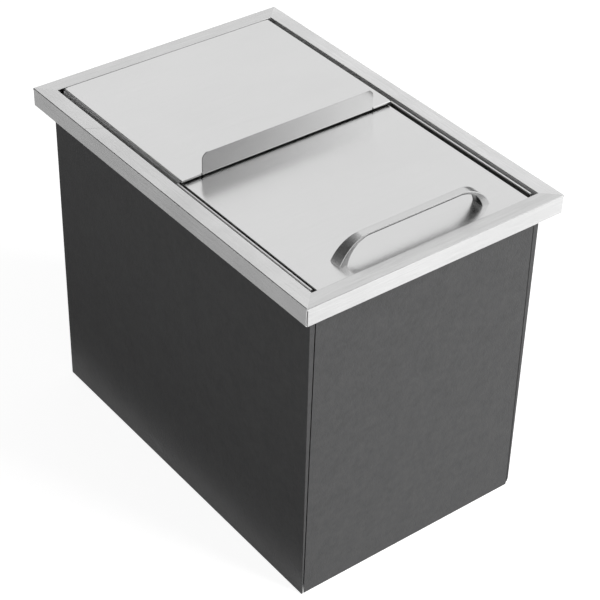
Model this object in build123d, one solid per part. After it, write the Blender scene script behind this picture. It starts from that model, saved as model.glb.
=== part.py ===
from build123d import *
import os

# A drop-in ice bin, in millimetres. The origin is on the ground under the middle of the bin,
# +Y points to the rear and +Z points up. The front lid with the handle is at -Y.

# Rim frame, folded from one gauge of stainless sheet
rim_width = 304.8
rim_length = 457.2
bin_height = 368.3
rim_sheet = 1.0
rim_side_land = 18.4
rim_end_land = 17.6
skirt_depth = 20.0
skirt_hem = 8.0
skirt_fold = 1.5
skirt_seam_gap = 0.3
skirt_seam_start = 2.2
rim_inner_fold = 1.2
ledge_drop = 14.0
side_ledge = 10.4
end_ledge = 10.7

# Inner tub, whose out-turned flange lies against the underside of the ledge
tub_sheet = 1.0
tub_corner = 14.0
tub_floor_bend = 8.0
tub_flange = 9.0
sump_diameter = 76.0
sump_depth = 4.0

# Foam jacket; a nose is the strip of a long panel's cut end that shows on the end face
side_foam = 12.7
base_foam = 38.1
foam_joint = 0.8
foam_nose_top = 6.0
foam_nose_base = 1.5
base_panel_clearance = 0.5
access_pocket = 100.0
clipped_corner_width = 3.0
clipped_corner_depth = 9.0
clipped_corner_height = 7.0

# Rear lid; its front edge, where the two lids join, is placed from the middle of the bin
lid_sheet = 1.0
lid_fold = 1.2
lid_foot_clearance = 0.3
lid_joint_place = -2.1
rear_lid_side_gap = 5.8
rear_lid_rise = 0.9
rear_lid_end_gap = 1.5
rear_lid_hem = 1.1
rear_lid_hem_drop = 2.0
rear_lid_end_flange = 9.0
rear_lid_end_notch = 4.0
rear_lid_front_hem = 8.0
rear_lid_front_hem_gap = 1.2
front_hem_round = 0.8
lip_side_gap = 24.4
lip_height = 21.7
lip_corner = 7.5
lip_bend = 1.0

# Front lid
front_lid_side_gap = 8.2
front_lid_end_gap = 1.5
lid_overlap = 15.0
lid_gap = 3.6
front_lid_rear_flange = 4.0

# Rails beside the front lid
rail_wall = 2.0
rail_sheet = 1.0
rail_setback = 2.6
rail_top_drop = 2.0
rail_hem_round = 0.8
rail_lip_height = 5.0
rail_clearance = 0.3
rail_front_gap = 5.0
rail_rear_past_lid_edge = 3.1

# Handle on the front lid
handle_span = 178.5
handle_flat = 110.0
handle_rise = 22.7
handle_thickness = 2.5
handle_depth = 8.4
handle_foot_depth = 14.2
handle_foot_width = 9.0
handle_setback = 18.5
handle_edge_round = 0.6
handle_screw_inset = 6.2
handle_screw_diameter = 4.0
handle_screw_grip = 5.5
handle_screw_head_diameter = 8.0
handle_screw_head_height = 2.4
screw_clearance = 0.15
screw_head_round = 0.9

# Drain
drain_thread_diameter = 38.0
drain_flange_diameter = 60.0
drain_flange_thickness = 3.0
drain_bore = 26.0
drain_tail_diameter = 33.2
drain_thread_past_nut = 0.9
drain_ground_gap = 2.0
drain_hole_clearance = 0.4
thread_clearance = 0.1
gasket_diameter = 58.0
gasket_thickness = 2.0
washer_diameter = 56.0
washer_thickness = 1.2
locknut_across_flats = 54.0
locknut_height = 8.0
strainer_diameter = 46.0
strainer_thickness = 1.2
strainer_clearance = 0.2
strainer_hole = 3.2
strainer_ring_pitch = 5.6
strainer_rings = 3
strainer_holes_per_ring = 6
cross_bar_width = 8.0
cross_bar_height = 5.0
cross_bar_fit = 0.05
strainer_screw_diameter = 4.0
strainer_screw_grip = 4.0
strainer_screw_head_diameter = 7.5
strainer_screw_head_height = 2.0

# Sizes and heights that follow from the values above
rim_size = (rim_width, rim_length)
rim_opening = (rim_width - 2 * rim_side_land, rim_length - 2 * rim_end_land)
tub_size = (rim_opening[0] - 2 * side_ledge, rim_opening[1] - 2 * end_ledge)
rim_top = bin_height
skirt_bottom = rim_top - skirt_depth
ledge_top = rim_top - ledge_drop
ledge_bottom = ledge_top - rim_sheet
foam_top = ledge_bottom - tub_sheet
tub_outer = (tub_size[0] + 2 * tub_sheet, tub_size[1] + 2 * tub_sheet)
body_width = tub_outer[0] + 2 * side_foam
body_length = tub_outer[1] + 2 * side_foam
tub_floor_top = base_foam + tub_sheet
sump_bottom = base_foam - sump_depth
lid_foot = ledge_top + lid_foot_clearance

rear_lid_top = rim_top + rear_lid_rise
rear_lid_end = rim_opening[1] / 2 - rear_lid_end_gap
rear_lid_front = lid_joint_place
rear_lid_width = rim_opening[0] - 2 * rear_lid_side_gap
lip_width = rear_lid_width - 2 * lip_side_gap
rail_rear = rear_lid_front + rail_rear_past_lid_edge
rear_lid_flange_front = rail_rear + rail_clearance

front_lid_top = rear_lid_top - lid_sheet - lid_gap
front_lid_width = rim_opening[0] - 2 * front_lid_side_gap
front_lid_front = -rim_opening[1] / 2 + front_lid_end_gap
front_lid_rear = rear_lid_front + lid_overlap

handle_y = front_lid_front + handle_setback + handle_depth / 2
handle_screw_places = (-handle_span / 2 + handle_screw_inset, handle_span / 2 - handle_screw_inset)
handle_screw_hole = handle_screw_diameter + 2 * screw_clearance

drain_flange_seat = sump_bottom + tub_sheet
drain_flange_top = drain_flange_seat + drain_flange_thickness
strainer_seat = drain_flange_top - strainer_thickness
gasket_bottom = sump_bottom - gasket_thickness
washer_bottom = gasket_bottom - washer_thickness
locknut_bottom = washer_bottom - locknut_height
drain_tail_top = locknut_bottom - drain_thread_past_nut
drain_hole = drain_thread_diameter + 2 * drain_hole_clearance
strainer_screw_hole = strainer_screw_diameter + 2 * screw_clearance

near = 0.01


def block(x_range, y_range, z_range):
    """A box between two places along each axis, given in either order."""
    spans = (x_range, y_range, z_range)
    sizes = [abs(b - a) for a, b in spans]
    middle = [(a + b) / 2 for a, b in spans]
    return Pos(*middle) * Box(*sizes)


def centred(size, bottom, top):
    """A box of a width and length centred on the upright axis, between two heights."""
    width, length = size
    return block((-width / 2, width / 2), (-length / 2, length / 2), (bottom, top))


def rounded(size, corner, bottom, top):
    """The same box with its four upright corners rounded."""
    outline = RectangleRounded(size[0], size[1], corner)
    return Pos(0, 0, bottom) * extrude(outline, top - bottom)


def grown(size, by):
    """A width and length made larger by the same amount on all four sides."""
    return (size[0] + 2 * by, size[1] + 2 * by)


def disc(diameter, bottom, top, x=0.0, y=0.0):
    """An upright round bar between two heights."""
    return Pos(x, y, (bottom + top) / 2) * Cylinder(diameter / 2, top - bottom)


def edges_round(shape, size, height):
    """The straight edges of a rectangle of this size, centred on the upright axis at this height."""

    def on_rectangle(edge):
        middle = edge.center()
        at_side = abs(abs(middle.X) - size[0] / 2) < near
        at_end = abs(abs(middle.Y) - size[1] / 2) < near
        return abs(middle.Z - height) < near and (at_side or at_end)

    return shape.edges().filter_by(on_rectangle)


def edge_through(shape, x=None, y=None, z=None):
    """The edges whose middle lies at the places that are given."""

    def at_place(edge):
        middle = edge.center()
        pairs = ((middle.X, x), (middle.Y, y), (middle.Z, z))
        return all(place is None or abs(value - place) < near for value, place in pairs)

    return shape.edges().filter_by(at_place)


# Rim and tub

def make_rim_frame():
    """Flat top, skirt with its returned edge, inner wall and the ledge, with open seams at the corners."""
    top = centred(rim_size, rim_top - rim_sheet, rim_top)
    skirt = centred(rim_size, skirt_bottom, rim_top)
    skirt -= centred(grown(rim_size, -rim_sheet), skirt_bottom, rim_top)
    hem_opening = grown(rim_size, -rim_sheet - skirt_hem)
    hem_top = skirt_bottom + rim_sheet
    hem = centred(rim_size, skirt_bottom, hem_top) - centred(hem_opening, skirt_bottom, hem_top)
    well = centred(grown(rim_opening, rim_sheet), ledge_bottom, rim_top)
    frame = top + skirt + hem + well
    frame -= centred(rim_opening, ledge_top, rim_top)
    frame -= rounded(tub_size, tub_corner, ledge_bottom, ledge_top)
    frame = fillet(edges_round(frame, rim_size, rim_top), skirt_fold)
    frame = fillet(edges_round(frame, rim_size, skirt_bottom), skirt_fold)
    frame = fillet(edges_round(frame, rim_opening, rim_top), rim_inner_fold)
    seam_top = rim_top - skirt_seam_start
    seam = rim_sheet + skirt_seam_gap
    for side in (-1, 1):
        for end in (-1, 1):
            x = side * rim_width / 2
            y = end * rim_length / 2
            frame -= block((x, x - side * seam), (y, y - end * seam), (skirt_bottom, seam_top))
    return frame


def make_inner_tub():
    """Rounded box of sheet with an out-turned flange and a sump round the drain hole."""
    outer = rounded(tub_outer, tub_corner + tub_sheet, base_foam, ledge_bottom)
    outer = fillet(outer.edges().group_by(Axis.Z)[0], tub_floor_bend + tub_sheet)
    inside = rounded(tub_size, tub_corner, tub_floor_top, ledge_bottom)
    inside = fillet(inside.edges().group_by(Axis.Z)[0], tub_floor_bend)
    flange_corner = tub_corner + tub_sheet + tub_flange
    flange = rounded(grown(tub_outer, tub_flange), flange_corner, foam_top, ledge_bottom)
    flange -= rounded(tub_size, tub_corner, foam_top, ledge_bottom)
    sump = disc(sump_diameter + 2 * tub_sheet, sump_bottom, tub_floor_top)
    tub = outer - inside + flange + sump
    tub -= disc(sump_diameter, drain_flange_seat, tub_floor_top)
    return tub - disc(drain_hole, sump_bottom, drain_flange_seat)


# Foam jacket

def seam_plane(side, end):
    """The slanting cut between a long panel and an end panel; its normal points to the long panel.

    The side is -1 for left and 1 for right, the end -1 for front and 1 for rear.
    """
    mean_nose = (foam_nose_top + foam_nose_base) / 2
    start = Vector(side * (body_width / 2 - foam_nose_base), end * body_length / 2, 0)
    up_the_seam = Vector(side * (foam_nose_base - foam_nose_top), 0, foam_top)
    into_corner = Vector(-side * (side_foam - mean_nose), -end * side_foam, 0)
    return Plane(origin=start, x_dir=into_corner, z_dir=up_the_seam.cross(into_corner) * (side * end))


def clipped_corner_plane():
    """A cut across the front right foot of the jacket, where the sheet's corner is missing."""
    foot = Vector(body_width / 2, -body_length / 2, 0)
    above = foot + Vector(0, 0, clipped_corner_height)
    beside = foot + Vector(-clipped_corner_width, 0, 0)
    behind = foot + Vector(0, clipped_corner_depth, 0)
    across = beside - above
    return Plane(origin=above, x_dir=across, z_dir=across.cross(behind - above))


def make_long_panel(side):
    """Left or right foam sheet, cut at a slant where it meets the end sheets."""
    x = side * body_width / 2
    panel = block((x, x - side * side_foam), (-body_length / 2, body_length / 2), (0, foam_top))
    for end in (-1, 1):
        panel = split(panel, bisect_by=seam_plane(side, end), keep=Keep.TOP)
    if side > 0:
        panel = split(panel, bisect_by=clipped_corner_plane(), keep=Keep.BOTTOM)
    return panel


def make_end_panel(end):
    """Front or rear foam sheet between the long sheets, a joint's width away from their cuts."""
    y = end * body_length / 2
    panel = block((-body_width / 2, body_width / 2), (y, y - end * side_foam), (0, foam_top))
    for side in (-1, 1):
        panel = split(panel, bisect_by=seam_plane(side, end).offset(-foam_joint), keep=Keep.BOTTOM)
    if end < 0:
        panel = split(panel, bisect_by=clipped_corner_plane(), keep=Keep.BOTTOM)
    return panel


def make_bottom_panel():
    """Thick foam slab under the tub, with a square pocket round the drain."""
    slab = centred(grown(tub_outer, -base_panel_clearance), 0, base_foam)
    return slab - centred((access_pocket, access_pocket), 0, base_foam)


# Lids and rails

def make_lid_rail(side):
    """Hemmed upright strip with a foot on the ledge and a low lip that guides the front lid."""
    outer = rim_opening[0] / 2 - rail_setback
    strip_inner = outer - rail_wall
    lip_inner = front_lid_width / 2 + rail_clearance
    lip_outer = lip_inner + rail_sheet
    along = (-rim_opening[1] / 2 + rail_front_gap, rail_rear)
    strip = block((side * strip_inner, side * outer), along, (ledge_top, rim_top - rail_top_drop))
    foot = block((side * lip_inner, side * outer), along, (ledge_top, ledge_top + rail_sheet))
    lip = block((side * lip_inner, side * lip_outer), along, (ledge_top, ledge_top + rail_lip_height))
    rail = strip + foot + lip
    hem_edges = edge_through(rail, x=side * outer, z=rim_top - rail_top_drop)
    hem_edges += edge_through(rail, x=side * strip_inner, z=rim_top - rail_top_drop)
    return fillet(hem_edges, rail_hem_round)


def make_lip():
    """Upright lip bent up from the rear lid's front edge, with rounded top corners."""
    outer_bend = lip_bend + lid_sheet
    top = lip_height + lid_sheet
    section = Curve() + [
        TangentArc((outer_bend, 0), (0, outer_bend), tangent=(-1, 0)),
        Line((0, outer_bend), (0, top)),
        Line((0, top), (lid_sheet, top)),
        Line((lid_sheet, top), (lid_sheet, outer_bend)),
        TangentArc((lid_sheet, outer_bend), (outer_bend, lid_sheet), tangent=(0, -1)),
        Line((outer_bend, lid_sheet), (outer_bend, 0)),
    ]
    lip = extrude(Plane.YZ * make_face(section), lip_width / 2, both=True)
    corners = lip.edges().filter_by(Axis.Y).group_by(Axis.Z)[-1]
    return Pos(0, rear_lid_front, rear_lid_top - lid_sheet) * fillet(corners, lip_corner)


def make_rear_lid():
    """Rear lid with hemmed side flanges that stand on the ledge, a short rear flange and the lip.

    The corners between its flanges are notched, and its sides end where the rear fold starts. Its
    front edge is hemmed on both sides of the lip.
    """
    half = rear_lid_width / 2
    underside = rear_lid_top - lid_sheet
    hem_top = rim_top - rear_lid_hem_drop
    side_rear = rear_lid_end - lid_fold
    flange_length = (rear_lid_flange_front, side_rear)
    lid = block((-half, half), (rear_lid_front, side_rear), (underside, rear_lid_top))
    end_width = (-half + rear_lid_end_notch, half - rear_lid_end_notch)
    end_flange_foot = rear_lid_top - rear_lid_end_flange
    lid += block(end_width, (side_rear, rear_lid_end), (underside, rear_lid_top))
    lid += block(end_width, (rear_lid_end - lid_sheet, rear_lid_end), (end_flange_foot, rear_lid_top))
    for side in (-1, 1):
        lid += block((side * half, side * (half - lid_sheet)), flange_length, (lid_foot, rear_lid_top))
    lid = fillet(edge_through(lid, y=rear_lid_end, z=rear_lid_top), lid_fold)
    for side in (-1, 1):
        lid = fillet(edge_through(lid, x=side * half, z=rear_lid_top), lid_fold)
        hem_outer = side * (half + rear_lid_hem)
        lid += block((side * half, hem_outer), flange_length, (lid_foot, hem_top))
    for side in (-1, 1):
        hem_width = (side * (lip_width / 2 + rear_lid_front_hem_gap), side * (half - lid_fold))
        hem_depth = (rear_lid_front, rear_lid_front + rear_lid_front_hem)
        hem = block(hem_width, hem_depth, (underside - lid_sheet, underside))
        lid += fillet(edge_through(hem, y=rear_lid_front, z=underside - lid_sheet), front_hem_round)
    bend_reach = rear_lid_front + lip_bend + lid_sheet
    lid -= block((-lip_width / 2, lip_width / 2), (rear_lid_front, bend_reach), (underside, rear_lid_top))
    return lid + make_lip()


def make_front_lid():
    """Tray-shaped lid over the front half, with two holes for the handle's screws."""
    half = front_lid_width / 2
    length = (front_lid_front, front_lid_rear)
    lid = block((-half, half), length, (lid_foot, front_lid_top))
    lid -= block(
        (-half + lid_sheet, half - lid_sheet),
        (front_lid_front + lid_sheet, front_lid_rear - lid_sheet),
        (lid_foot, front_lid_top - lid_sheet),
    )
    rear_flange_foot = front_lid_top - lid_sheet - front_lid_rear_flange
    lid -= block(
        (-half + lid_sheet, half - lid_sheet),
        (front_lid_rear - lid_sheet, front_lid_rear),
        (lid_foot, rear_flange_foot),
    )
    lid = fillet(edge_through(lid, y=front_lid_front, z=front_lid_top), lid_fold)
    lid = fillet(edge_through(lid, y=front_lid_rear, z=front_lid_top), lid_fold)
    for side in (-1, 1):
        lid = fillet(edge_through(lid, x=side * half, z=front_lid_top), lid_fold)
    for x in handle_screw_places:
        lid -= disc(handle_screw_hole, front_lid_top - lid_sheet, front_lid_top, x, handle_y)
    return lid


# Handle

def handle_side_view():
    """The bow seen from the front: a flat top that runs in arcs down to two wedge-shaped feet."""
    half_flat = handle_flat / 2
    foot_outer = handle_span / 2
    foot_inner = foot_outer - handle_foot_width
    under = handle_rise - handle_thickness
    right = Curve() + [
        Line((0, handle_rise), (half_flat, handle_rise)),
        TangentArc((half_flat, handle_rise), (foot_outer, 0), tangent=(1, 0)),
        Line((foot_outer, 0), (foot_inner, 0)),
        TangentArc((half_flat, under), (foot_inner, 0), tangent=(1, 0)),
        Line((half_flat, under), (0, under)),
    ]
    return make_face(right + mirror(right, about=Plane.YZ))


def handle_top_view():
    """The bow seen from above: narrow along its flat top and wider at its feet."""
    half_flat = handle_flat / 2
    foot_outer = handle_span / 2
    corner_points = [
        (half_flat, handle_depth / 2),
        (foot_outer, handle_foot_depth / 2),
        (foot_outer, -handle_foot_depth / 2),
        (half_flat, -handle_depth / 2),
    ]
    points = corner_points + [(-x, y) for x, y in reversed(corner_points)]
    return make_face(Polyline(*points, close=True))


def make_handle():
    """Bow handle with two blind holes in its feet."""
    side_view = extrude(Plane.XZ * handle_side_view(), handle_foot_depth / 2, both=True)
    bow = side_view & extrude(handle_top_view(), handle_rise)
    upper_edges = bow.edges().filter_by(lambda edge: edge.center().Z > handle_rise / 2)
    long_edges = upper_edges.filter_by(lambda edge: abs(edge.center().Y) > handle_depth / 2 - near)
    bow = fillet(long_edges, handle_edge_round)
    bow = Pos(0, handle_y, front_lid_top) * bow
    for x in handle_screw_places:
        bow -= disc(handle_screw_hole, front_lid_top, front_lid_top + handle_screw_grip, x, handle_y)
    return bow


def make_screw(diameter, head_diameter, head_height, seat, tip, x=0.0, y=0.0):
    """Pan-head screw with its head's flat on the seat and its shank running to the tip."""
    away = 1 if seat > tip else -1
    head_end = seat + away * head_height
    head = disc(head_diameter, min(seat, head_end), max(seat, head_end), x, y)
    crown = head.edges().filter_by(GeomType.CIRCLE).group_by(Axis.Z)[-1 if away > 0 else 0]
    head = fillet(crown, screw_head_round)
    return head + disc(diameter, min(seat, tip), max(seat, tip), x, y)


def make_handle_screws():
    """The two screws that hold the handle, from under the front lid."""
    seat = front_lid_top - lid_sheet
    tip = front_lid_top + handle_screw_grip - screw_clearance
    sizes = (handle_screw_diameter, handle_screw_head_diameter, handle_screw_head_height)
    return [make_screw(*sizes, seat, tip, x, handle_y) for x in handle_screw_places]


# Drain

def make_drain_body():
    """Flanged and threaded drain with a narrower tail and a seat for the strainer."""
    body = disc(drain_flange_diameter, drain_flange_seat, drain_flange_top)
    body += disc(drain_thread_diameter, drain_tail_top, drain_flange_seat)
    body += disc(drain_tail_diameter, drain_ground_gap, drain_tail_top)
    body -= disc(drain_bore, drain_ground_gap, drain_flange_top)
    body -= disc(strainer_diameter + 2 * strainer_clearance, strainer_seat, drain_flange_top)
    return body


def make_cross_bar():
    """Bar across the drain's bore, tapped in its middle for the strainer's screw."""
    heights = (strainer_seat - cross_bar_height, strainer_seat)
    bar = block((-drain_bore / 2, drain_bore / 2), (-cross_bar_width / 2, cross_bar_width / 2), heights)
    bar &= disc(drain_bore - 2 * cross_bar_fit, *heights)
    return bar - disc(strainer_screw_hole, *heights)


def make_drain_ring(diameter, bottom, thickness):
    """A flat ring round the drain's thread."""
    ring = disc(diameter, bottom, bottom + thickness)
    return ring - disc(drain_thread_diameter + 2 * thread_clearance, bottom, bottom + thickness)


def make_locknut():
    """Hexagonal nut on the drain's thread."""
    hexagon = RegularPolygon(locknut_across_flats / 2, 6, major_radius=False)
    nut = Pos(0, 0, locknut_bottom) * extrude(hexagon, locknut_height)
    return nut - disc(drain_thread_diameter + 2 * thread_clearance, locknut_bottom, washer_bottom)


def make_strainer():
    """Disc with rings of round holes and a hole for its screw."""
    plate = disc(strainer_diameter, strainer_seat, drain_flange_top)
    for ring in range(1, strainer_rings + 1):
        ring_radius = strainer_ring_pitch * ring + strainer_hole / 2
        for place in PolarLocations(ring_radius, strainer_holes_per_ring * ring):
            x, y = place.position.X, place.position.Y
            plate -= disc(strainer_hole, strainer_seat, drain_flange_top, x, y)
    return plate - disc(strainer_screw_hole, strainer_seat, drain_flange_top)


def make_strainer_screw():
    """Screw through the strainer into the cross bar."""
    return make_screw(
        strainer_screw_diameter,
        strainer_screw_head_diameter,
        strainer_screw_head_height,
        drain_flange_top,
        strainer_seat - strainer_screw_grip,
    )


nodes = {
    "rim_frame": make_rim_frame(),
    "inner_tub": make_inner_tub(),
    "foam_panel_left": make_long_panel(-1),
    "foam_panel_right": make_long_panel(1),
    "foam_panel_front": make_end_panel(-1),
    "foam_panel_rear": make_end_panel(1),
    "foam_panel_bottom": make_bottom_panel(),
    "lid_rail_left": make_lid_rail(-1),
    "lid_rail_right": make_lid_rail(1),
    "rear_lid": make_rear_lid(),
    "front_lid": make_front_lid(),
    "lid_handle": make_handle(),
    "handle_screws": Compound(make_handle_screws()),
    "drain_body": make_drain_body(),
    "drain_cross_bar": make_cross_bar(),
    "drain_strainer": make_strainer(),
    "strainer_screw": make_strainer_screw(),
    "drain_gasket": make_drain_ring(gasket_diameter, gasket_bottom, gasket_thickness),
    "drain_washer": make_drain_ring(washer_diameter, washer_bottom, washer_thickness),
    "drain_locknut": make_locknut(),
}

os.makedirs("parts", exist_ok=True)
for name, shape in nodes.items():
    export_step(shape, f"parts/{name}.step")
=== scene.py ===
import math

import bmesh
import bpy
from mathutils import Matrix, Vector


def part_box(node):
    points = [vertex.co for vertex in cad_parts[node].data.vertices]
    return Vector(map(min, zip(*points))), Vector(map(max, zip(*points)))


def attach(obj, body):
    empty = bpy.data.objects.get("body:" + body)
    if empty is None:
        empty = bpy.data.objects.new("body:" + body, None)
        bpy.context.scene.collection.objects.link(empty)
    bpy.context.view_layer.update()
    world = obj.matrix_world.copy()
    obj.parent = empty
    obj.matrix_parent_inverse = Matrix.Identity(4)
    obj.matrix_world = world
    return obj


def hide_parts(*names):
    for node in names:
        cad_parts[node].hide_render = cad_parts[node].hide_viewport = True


# Drop-in ice bin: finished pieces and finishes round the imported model.
# Metres, +Y to the rear, +Z up, the front lid with its handle at -Y.

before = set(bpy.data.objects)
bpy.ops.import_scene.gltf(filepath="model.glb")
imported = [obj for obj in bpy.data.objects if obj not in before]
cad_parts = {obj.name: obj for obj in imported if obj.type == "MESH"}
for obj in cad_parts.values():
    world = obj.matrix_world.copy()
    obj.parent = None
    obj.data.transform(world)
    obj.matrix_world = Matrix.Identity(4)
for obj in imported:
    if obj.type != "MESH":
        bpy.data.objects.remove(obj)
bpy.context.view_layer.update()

MM = 0.001
UP = Vector((0, 0, 1))
REARWARDS = Vector((0, 1, 0))
RIGHTWARDS = Vector((1, 0, 0))
QUARTER = math.pi / 2
SIXTH = math.pi / 3
CORNERS = ((1, 1), (-1, 1), (-1, -1), (1, -1))

# Camera, as found from the photo's perspective
CAMERA_PLACE = (-0.9321, -1.2087, 1.3183)
CAMERA_TURN = math.radians(38.21)
CAMERA_DOWN = math.radians(36.89)
CAMERA_ROLL = math.radians(1.535)
CAMERA_LENS = 110.09
CAMERA_SENSOR = 36.0
CAMERA_REACH = 100.0

# Fineness of the curves
FOLD_STEPS = 6
CORNER_STEPS = 8
ROUND_STEPS = 96
BAR_STEPS = 32
MERGE_WITHIN = 0.001 * MM
SHARP_FROM = math.radians(32)

# Sheet gauge and folds
SHEET = 1.0 * MM
SHEET_EDGE = 0.12 * MM
LID_FOLD = 1.05 * MM
LID_REAR_FOLD = 2.4 * MM
TRAY_FOLD = 0.7 * MM
HEM_GAP = 0.1 * MM

# Rim
RIM_SIDE_LAND = 18.4 * MM
RIM_END_LAND = 17.6 * MM
RIM_INNER_FOLD = 1.2 * MM
SKIRT_FOLD = 0.8 * MM
SKIRT_HEM = 8.0 * MM
SKIRT_CORNER = 0.6 * MM
SKIRT_SEAM = 1.3 * MM
SKIRT_SEAM_START = 2.2 * MM

# Tub
TUB_INSIDE_LID = 2.2 * MM
TUB_INNER_HALF_LENGTH = 200.3 * MM
TUB_CORNER = 14.0 * MM
TUB_FLOOR_BEND = 8.0 * MM
SUMP_RADIUS = 38.0 * MM
SUMP_BEND = 1.2 * MM
DRAIN_HOLE_CLEARANCE = 0.4 * MM

# Foam jacket
FOAM_THICKNESS = 12.7 * MM
FOAM_JOINT = 0.8 * MM
FOAM_NOSE_TOP = 6.0 * MM
FOAM_NOSE_BASE = 1.5 * MM
FOAM_EDGE = 0.4 * MM
FOAM_EDGE_FROM = 20.0
FOAM_EDGE_STEPS = 3
FOAM_POCKET = 100.0 * MM
CLIPPED_CORNER = Vector((3.0, 9.0, 7.0)) * MM

# Rear lid
SIDE_HEM_START = 0.3 * MM
SIDE_HEM_DROP = 2.0 * MM
REAR_FLANGE = 9.0 * MM
REAR_FLANGE_NOTCH = 4.0 * MM
FRONT_HEM = 8.0 * MM
FRONT_HEM_GAP = 1.2 * MM
FRONT_HEM_RADIUS = 1.35 * MM
LIP_SIDE_GAP = 24.4 * MM
LIP_BEND = 0.35 * MM
LIP_CORNER = 7.5 * MM
LIP_HEIGHT = 21.7 * MM
LIP_HEM_SHORTER = 0.3 * MM
LIP_HEM_SETBACK = 0.02 * MM

# Front lid and rails
FRONT_LID_REAR_FLANGE = 4.0 * MM
RAIL_WALL = 2.0 * MM
RAIL_LIP = 5.0 * MM
RAIL_HEM_ROUND = 0.4 * MM

# Handle
HANDLE_FLAT = 110.0 * MM
HANDLE_THICKNESS = 2.5 * MM
HANDLE_DEPTH = 8.4 * MM
HANDLE_FOOT_WIDTH = 9.0 * MM
HANDLE_TOP_EDGE = 0.6 * MM
HANDLE_UNDER_EDGE = 0.5 * MM
HANDLE_ARM_STEPS = 18
HANDLE_EDGE_STEPS = 3
# Painted shade along the handle's lower edge fades out this fast down the arms
LOWER_EDGE_FADE = 1.6

# Screws
SCREW_DIAMETER = 4.0 * MM
SCREW_TIP = 0.4 * MM
SCREW_STEPS = 48
SCREW_HOLE = 2.15 * MM
SCREW_CROWN_HEIGHT = 0.55
SCREW_CROWN_SPREAD = 1.3
SCREW_DRIVE_WIDTH = 1.1 * MM
SCREW_DRIVE_LENGTH = 4.4 * MM
SCREW_DRIVE_DEPTH = 1.4 * MM
HANDLE_SCREW_HEAD = 8.0 * MM
HANDLE_SCREW_HEAD_HEIGHT = 2.4 * MM
STRAINER_SCREW_HEAD = 7.5 * MM
STRAINER_SCREW_HEAD_HEIGHT = 2.0 * MM

# Drain
THREAD_RADIUS = 19.0 * MM
THREAD_DEPTH = 0.9 * MM
THREAD_PITCH = 2.3 * MM
THREAD_ROWS_PER_PITCH = 6
THREAD_BELOW_NUT = 0.9 * MM
THREAD_CLEARANCE = 0.1 * MM
DRAIN_FLANGE = 3.0 * MM
DRAIN_BORE = 13.0 * MM
DRAIN_TAIL = 16.6 * MM
DRAIN_EDGE = 0.5 * MM
WASHER_EDGE = 0.15 * MM
GASKET_EDGE = 0.4 * MM
NUT_CHAMFER_SLOPE = math.tan(math.radians(30))
STRAINER_SEAT_CLEARANCE = 0.2 * MM
STRAINER_HOLE = 3.2 * MM
STRAINER_HOLE_STEPS = 20
STRAINER_RING_PITCH = 5.6 * MM
STRAINER_RINGS = 3
STRAINER_HOLES_PER_RING = 6

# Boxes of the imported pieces
rim_low, rim_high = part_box("rim_frame")
tub_low, tub_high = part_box("inner_tub")
rear_low, rear_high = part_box("rear_lid")
front_low, front_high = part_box("front_lid")
rail_low, rail_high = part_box("lid_rail_left")
handle_low, handle_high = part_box("lid_handle")
jacket_low, jacket_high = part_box("foam_panel_left")
slab_low, slab_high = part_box("foam_panel_bottom")

rim_top = rim_high.z
rear_lid_top = rear_high.z - LIP_HEIGHT
ledge_top = rail_low.z
ledge_bottom = tub_high.z
tub_inner_x = front_high.x - TUB_INSIDE_LID
tub_inner_y = TUB_INNER_HALF_LENGTH
jacket_half_x = -jacket_low.x
jacket_half_y = jacket_high.y
handle_middle_y = (handle_low.y + handle_high.y) / 2


# Mesh work

def arc(radius, sweep=QUARTER, steps=FOLD_STEPS):
    """Places (ahead, aside) after each step round an arc that sets off straight ahead."""
    for step in range(1, steps + 1):
        angle = sweep * step / steps
        yield radius * math.sin(angle), radius * (1 - math.cos(angle))


def fold_over(radius):
    """Places (inset, fall) up round the outside of a fold, from the upright face to the level one."""
    for step in range(FOLD_STEPS + 1):
        angle = QUARTER * step / FOLD_STEPS
        yield radius * (1 - math.cos(angle)), radius * (1 - math.sin(angle))


def rounded_rectangle(half_x, half_y, height, corner, middle_y=0.0):
    """A closed ring of points round a rectangle with rounded corners."""
    points = []
    for quarter, (side, end) in enumerate(CORNERS):
        for step in range(CORNER_STEPS + 1):
            angle = QUARTER * (quarter + step / CORNER_STEPS)
            x = side * (half_x - corner) + corner * math.cos(angle)
            y = middle_y + end * (half_y - corner) + corner * math.sin(angle)
            points.append(Vector((x, y, height)))
    return points


def round_ring(radius, height, count=ROUND_STEPS, middle=(0.0, 0.0)):
    """A closed ring of points round a circle; its first point lies half a step from the X axis."""
    ring = []
    for k in range(count):
        angle = (k + 0.5) * 2 * math.pi / count
        x = middle[0] + radius * math.cos(angle)
        y = middle[1] + radius * math.sin(angle)
        ring.append(Vector((x, y, height)))
    return ring


def loft(rings, closed=False):
    """A closed mesh through rings of equally many points, whose last ring joins the first or is filled."""
    mesh = bmesh.new()
    rows = [[mesh.verts.new(point) for point in ring] for ring in rings]
    pairs = list(zip(rows, rows[1:]))
    if closed:
        pairs.append((rows[-1], rows[0]))
    for lower, upper in pairs:
        for k in range(len(lower)):
            after = (k + 1) % len(lower)
            mesh.faces.new((lower[k], lower[after], upper[after], upper[k]))
    if not closed:
        mesh.faces.new(rows[0])
        mesh.faces.new(rows[-1])
    bmesh.ops.remove_doubles(mesh, verts=mesh.verts, dist=MERGE_WITHIN)
    bmesh.ops.recalc_face_normals(mesh, faces=mesh.faces)
    return mesh


def block(first, second):
    """A box between two opposite corners."""
    mesh = bmesh.new()
    bmesh.ops.create_cube(mesh, size=1.0)
    low = Vector([min(pair) for pair in zip(first, second)])
    high = Vector([max(pair) for pair in zip(first, second)])
    for vert in mesh.verts:
        vert.co = (low + high) / 2 + Vector([a * b for a, b in zip(vert.co, high - low)])
    return mesh


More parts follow.
